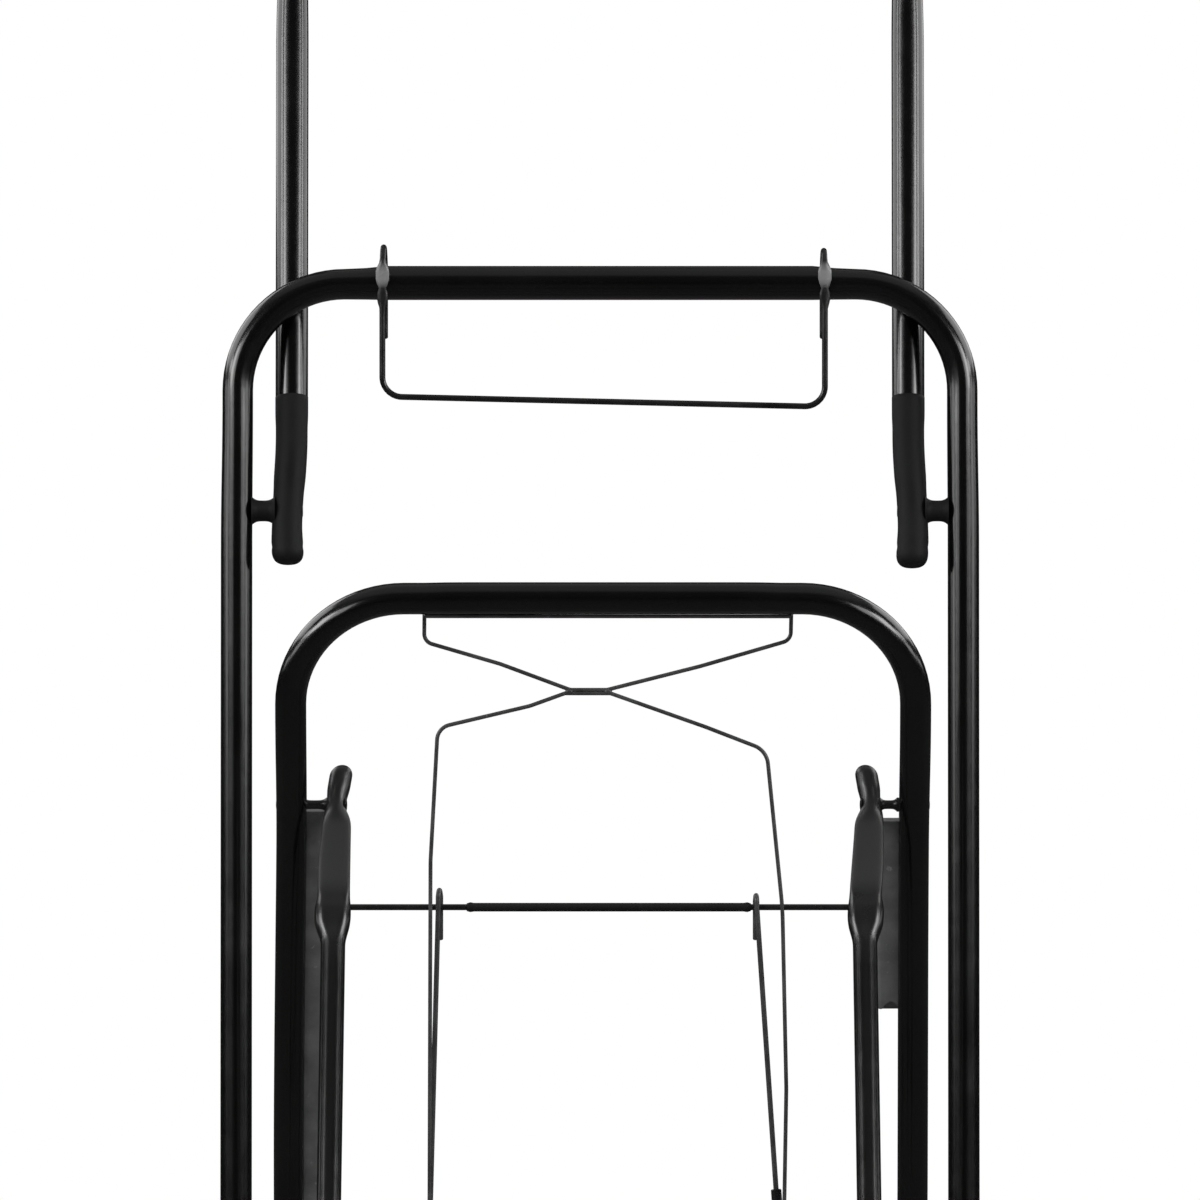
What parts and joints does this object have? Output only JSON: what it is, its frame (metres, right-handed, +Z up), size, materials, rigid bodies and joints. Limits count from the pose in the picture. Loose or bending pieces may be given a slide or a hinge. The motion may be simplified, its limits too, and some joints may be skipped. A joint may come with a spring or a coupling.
{
  "type": "folding shopping trolley frame",
  "caption": "Folding shopping trolley frame of gloss black tube, with a folding handle, front legs, wire hangers for a bag and four wheels.",
  "frame": {"origin": "on the ground, in the middle of the footprint of the whole trolley", "axes": "+Z up, +Y towards the person pushing it, +X to the right as seen from the front"},
  "size_m": [0.531, 0.5768, 1.0102],
  "materials": {
    "gloss_black_enamel": "gloss black baked enamel on steel tube, mirror-like",
    "black_coated_wire": "semi-gloss black coating on steel wire",
    "matt_black_plastic": "matt moulded black plastic",
    "grey_wheel_plastic": "moulded dark grey plastic",
    "tyre_rubber": "matt black rubber",
    "grip_rubber": "soft matt black rubber",
    "zinc_plated_steel": "bright zinc plating"
  },
  "bodies": {
    "chassis": {"main_frame": "gloss_black_enamel", "rear_axle": "zinc_plated_steel", "main_plug_left": "matt_black_plastic", "main_plug_right": "matt_black_plastic", "axle_spacer_left": "matt_black_plastic", "axle_spacer_right": "matt_black_plastic", "wheel_washer_left": "zinc_plated_steel", "wheel_washer_right": "zinc_plated_steel", "axle_cap_left": "matt_black_plastic", "axle_cap_right": "matt_black_plastic", "handle_pivot_left": "black_coated_wire", "handle_pivot_right": "black_coated_wire", "pivot_spacer_left": "matt_black_plastic", "pivot_spacer_right": "matt_black_plastic"},
    "handle": {"handle_tube": "gloss_black_enamel", "handle_grip": "grip_rubber", "handle_boot_left": "matt_black_plastic", "handle_boot_right": "matt_black_plastic"},
    "inner_support": {"inner_frame": "gloss_black_enamel", "inner_plug_left": "matt_black_plastic", "inner_plug_right": "matt_black_plastic", "leg_rivet_left": "black_coated_wire", "leg_rivet_right": "black_coated_wire", "leg_stop_left": "black_coated_wire", "leg_stop_right": "black_coated_wire"},
    "front_support": {"front_leg_left": "gloss_black_enamel", "front_leg_right": "gloss_black_enamel", "cross_rod": "black_coated_wire", "rod_sleeve": "matt_black_plastic", "front_axle": "zinc_plated_steel", "front_axle_sleeve": "matt_black_plastic", "front_cap_left": "matt_black_plastic", "front_cap_right": "matt_black_plastic"},
    "top_hanger": {"top_bail": "black_coated_wire"},
    "middle_hanger": {"hourglass_wire": "black_coated_wire"},
    "lower_hanger": {"lower_bail": "black_coated_wire", "bail_ferrule": "black_coated_wire"},
    "rear_wheel_left": {"rear_rim_left": "grey_wheel_plastic", "rear_tyre_left": "tyre_rubber"},
    "rear_wheel_right": {"rear_rim_right": "grey_wheel_plastic", "rear_tyre_right": "tyre_rubber"},
    "front_wheel_left": {"front_rim_left": "grey_wheel_plastic", "front_tyre_left": "tyre_rubber"},
    "front_wheel_right": {"front_rim_right": "grey_wheel_plastic", "front_tyre_right": "tyre_rubber"}
  },
  "joints": [
    {"name": "handle_fold", "type": "hinge", "parent": "chassis", "child": "handle", "pos_m": [0, 0.17276, 0.63], "axis": [-1, 0, 0], "range_deg": [0, 160]},
    {"name": "frame_fold", "type": "hinge", "parent": "chassis", "child": "inner_support", "pos_m": [0, 0.116, 0.09], "axis": [-1, 0, 0], "range_deg": [0, 23]},
    {"name": "leg_fold", "type": "hinge", "parent": "inner_support", "child": "front_support", "pos_m": [0, -0.0343, 0.462], "axis": [1, 0, 0], "range_deg": [0, 38.9]},
    {"name": "top_bail_swing", "type": "hinge", "parent": "chassis", "child": "top_hanger", "pos_m": [0, 0.18652, 0.761], "axis": [-1, 0, 0], "range_deg": [-75, 110]},
    {"name": "hourglass_swing", "type": "hinge", "parent": "inner_support", "child": "middle_hanger", "pos_m": [0, -0.08157, 0.579], "axis": [1, 0, 0], "range_deg": [0, 11.6]},
    {"name": "lower_bail_swing", "type": "hinge", "parent": "front_support", "child": "lower_hanger", "pos_m": [0, -0.06248, 0.40365], "axis": [-1, 0, 0], "range_deg": [0, 27.4]},
    {"name": "rear_wheel_left_spin", "type": "hinge", "parent": "chassis", "child": "rear_wheel_left", "pos_m": [0, 0.116, 0.09], "axis": [1, 0, 0], "continuous": true},
    {"name": "front_wheel_left_spin", "type": "hinge", "parent": "front_support", "child": "front_wheel_left", "pos_m": [0, -0.2285, 0.06], "axis": [1, 0, 0], "continuous": true},
    {"name": "rear_wheel_right_spin", "type": "hinge", "parent": "chassis", "child": "rear_wheel_right", "pos_m": [0, 0.116, 0.09], "axis": [1, 0, 0], "continuous": true},
    {"name": "front_wheel_right_spin", "type": "hinge", "parent": "front_support", "child": "front_wheel_right", "pos_m": [0, -0.2285, 0.06], "axis": [1, 0, 0], "continuous": true}
  ],
  "couplings": [
    {"joint": "leg_fold", "follows": "frame_fold", "ratio": 1.687},
    {"joint": "hourglass_swing", "follows": "frame_fold", "ratio": 0.5},
    {"joint": "lower_bail_swing", "follows": "frame_fold", "ratio": 1.187}
  ]
}
